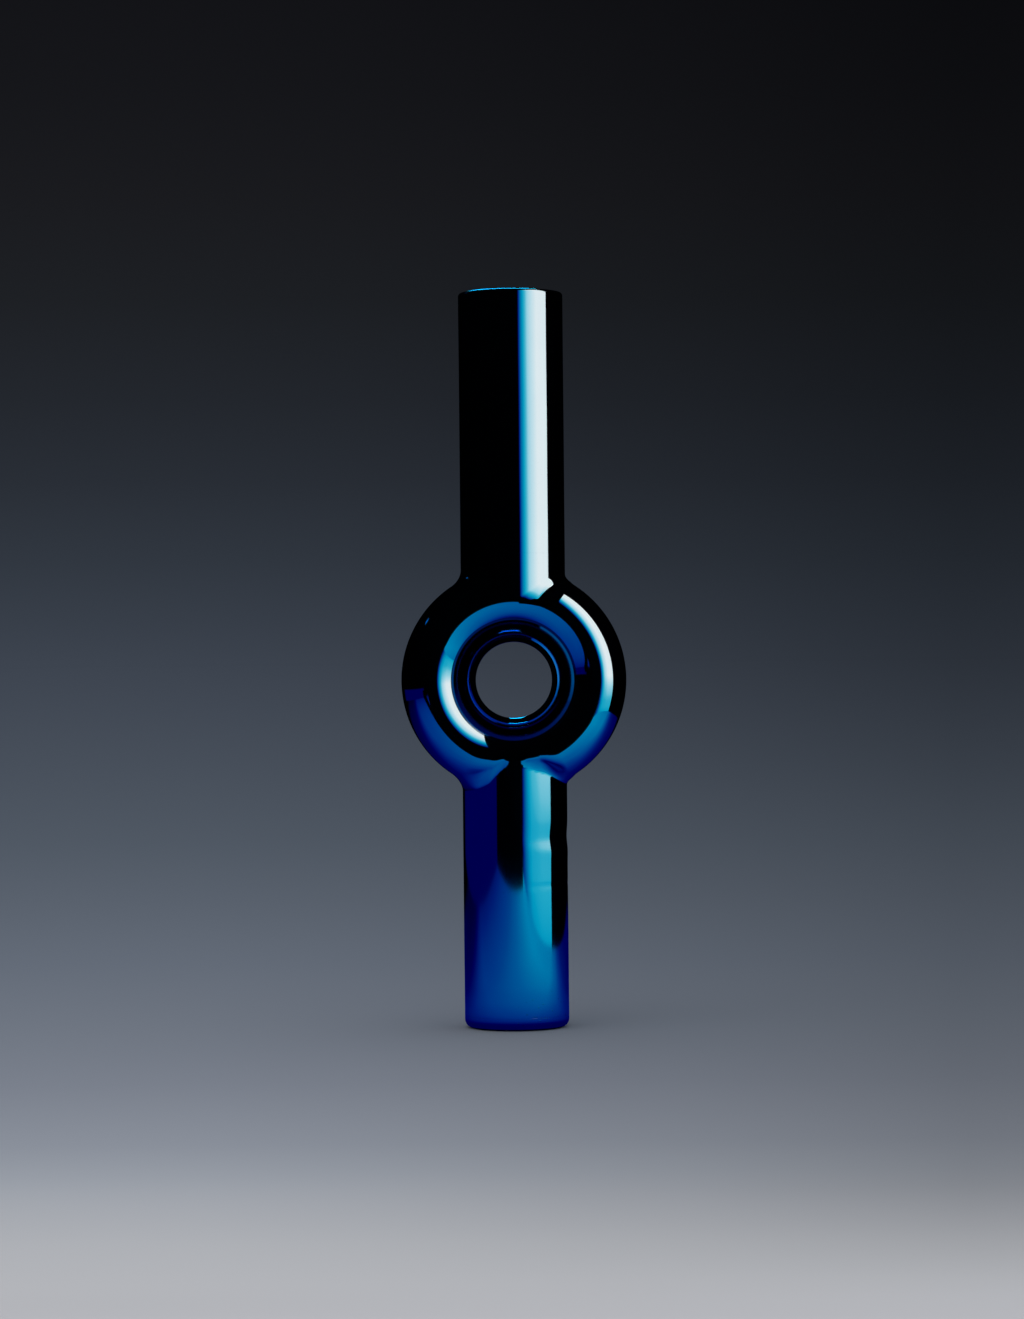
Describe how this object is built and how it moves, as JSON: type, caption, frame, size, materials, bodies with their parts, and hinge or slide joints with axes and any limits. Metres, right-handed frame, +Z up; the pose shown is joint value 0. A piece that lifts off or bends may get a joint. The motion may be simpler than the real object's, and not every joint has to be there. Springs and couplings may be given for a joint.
{
  "type": "guitar slide",
  "caption": "Long open round barrel and a short closed one on a thick hollow ring with a funnelled finger hole, all in mirror-blue metal.",
  "frame": {"origin": "centre of the base's resting face", "axes": "+Z up along the barrels, +Y through the ring's hole towards the back, so the front faces -Y, and +X across the ring"},
  "size_m": [0.0538, 0.025, 0.1754],
  "materials": {
    "blue_mirror": "mirror-polished metal plated deep blue, with fine pits near the base",
    "sleeve_brass": "plain turned"
  },
  "bodies": {
    "root": {"upper_barrel": "blue_mirror", "lower_barrel": "blue_mirror", "base_cap": "blue_mirror", "ring_front_shell": "blue_mirror", "ring_rear_shell": "blue_mirror", "hole_eyelet": "blue_mirror", "upper_joint_sleeve": "sleeve_brass", "lower_joint_sleeve": "sleeve_brass"}
  },
  "joints": []
}
